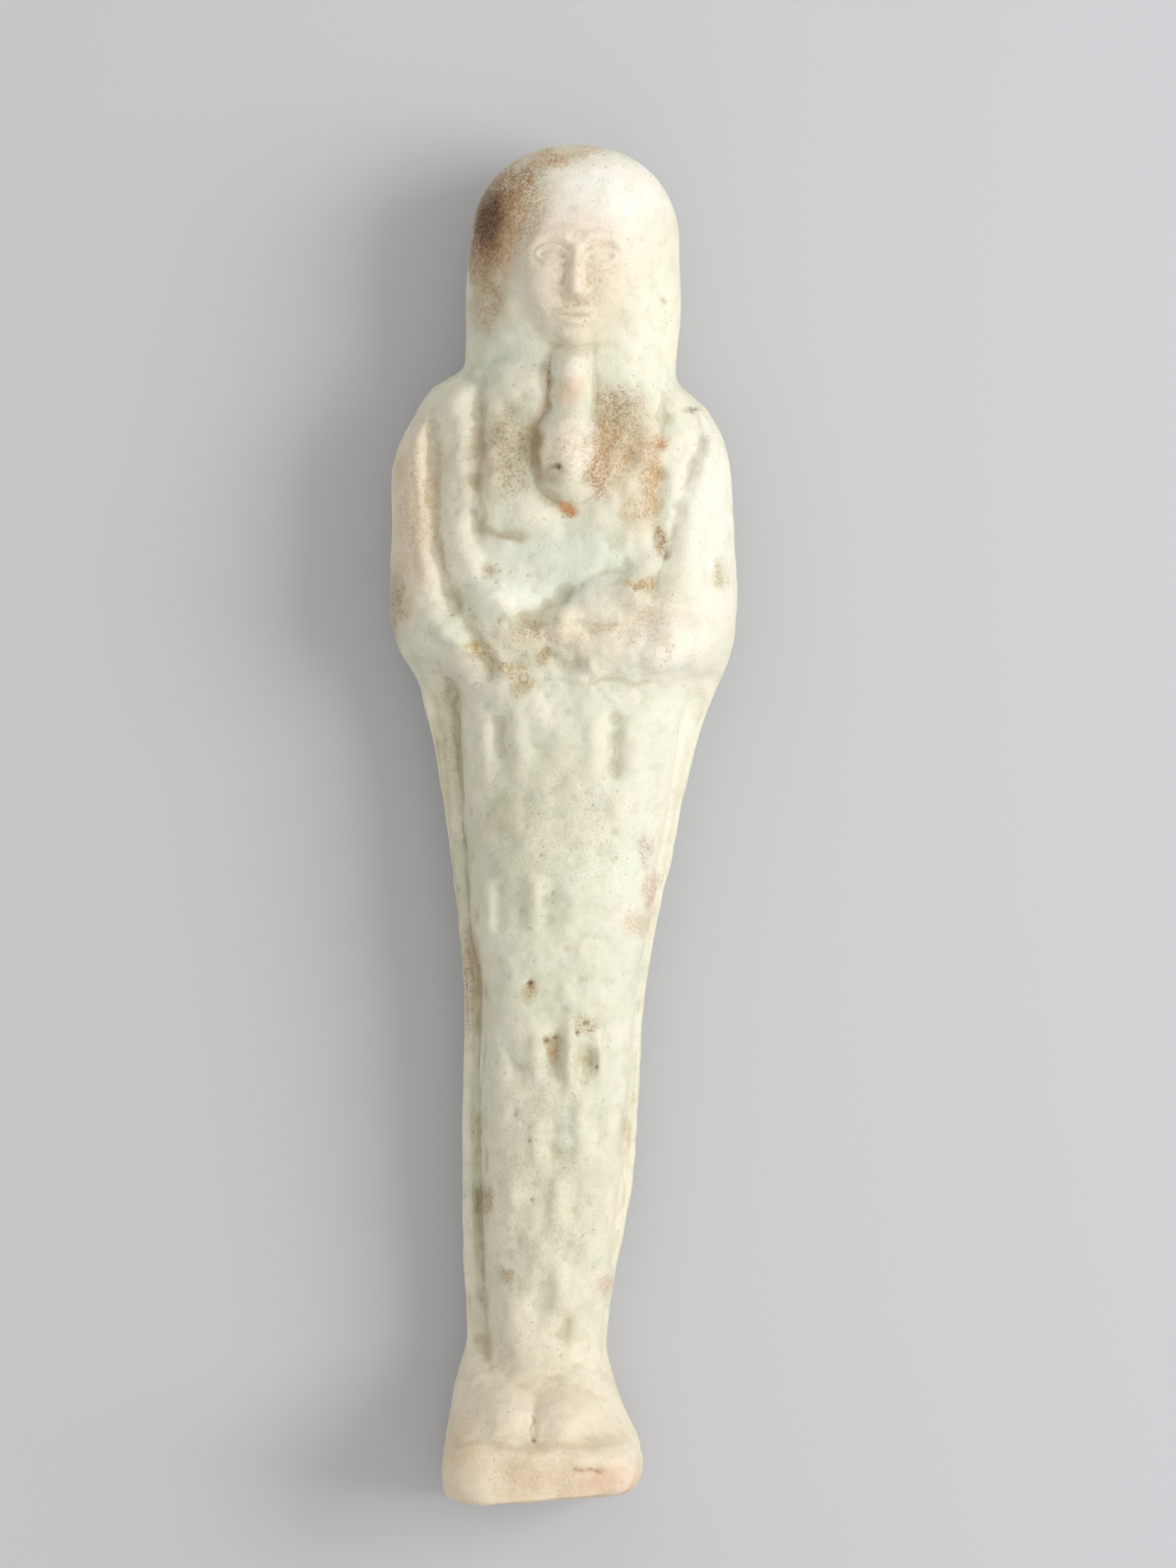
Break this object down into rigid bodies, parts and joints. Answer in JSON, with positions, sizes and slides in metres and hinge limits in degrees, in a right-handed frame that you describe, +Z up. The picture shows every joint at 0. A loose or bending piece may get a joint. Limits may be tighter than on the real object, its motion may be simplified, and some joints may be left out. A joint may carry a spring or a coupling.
{
  "type": "ushabti figurine",
  "caption": "Small mummy-shaped funerary figure in worn pale green faience, with plain wig, false beard, crossed arms, foot plinth and flat back pillar, lying on its back.",
  "frame": {"origin": "middle of the bounding box at the height of the surface that the figure's back pillar lies on", "axes": "+X to the figure's left hand, +Y along the figure from the sole to the crown, +Z up, out of its chest and face"},
  "size_m": [0.0308, 0.12, 0.0205],
  "materials": {
    "faience": "worn pale green-ivory glaze, satin, with brown and rust stains, pits and bare tan body where the glaze is gone"
  },
  "bodies": {
    "root": {"ushabti": "faience"}
  },
  "joints": []
}
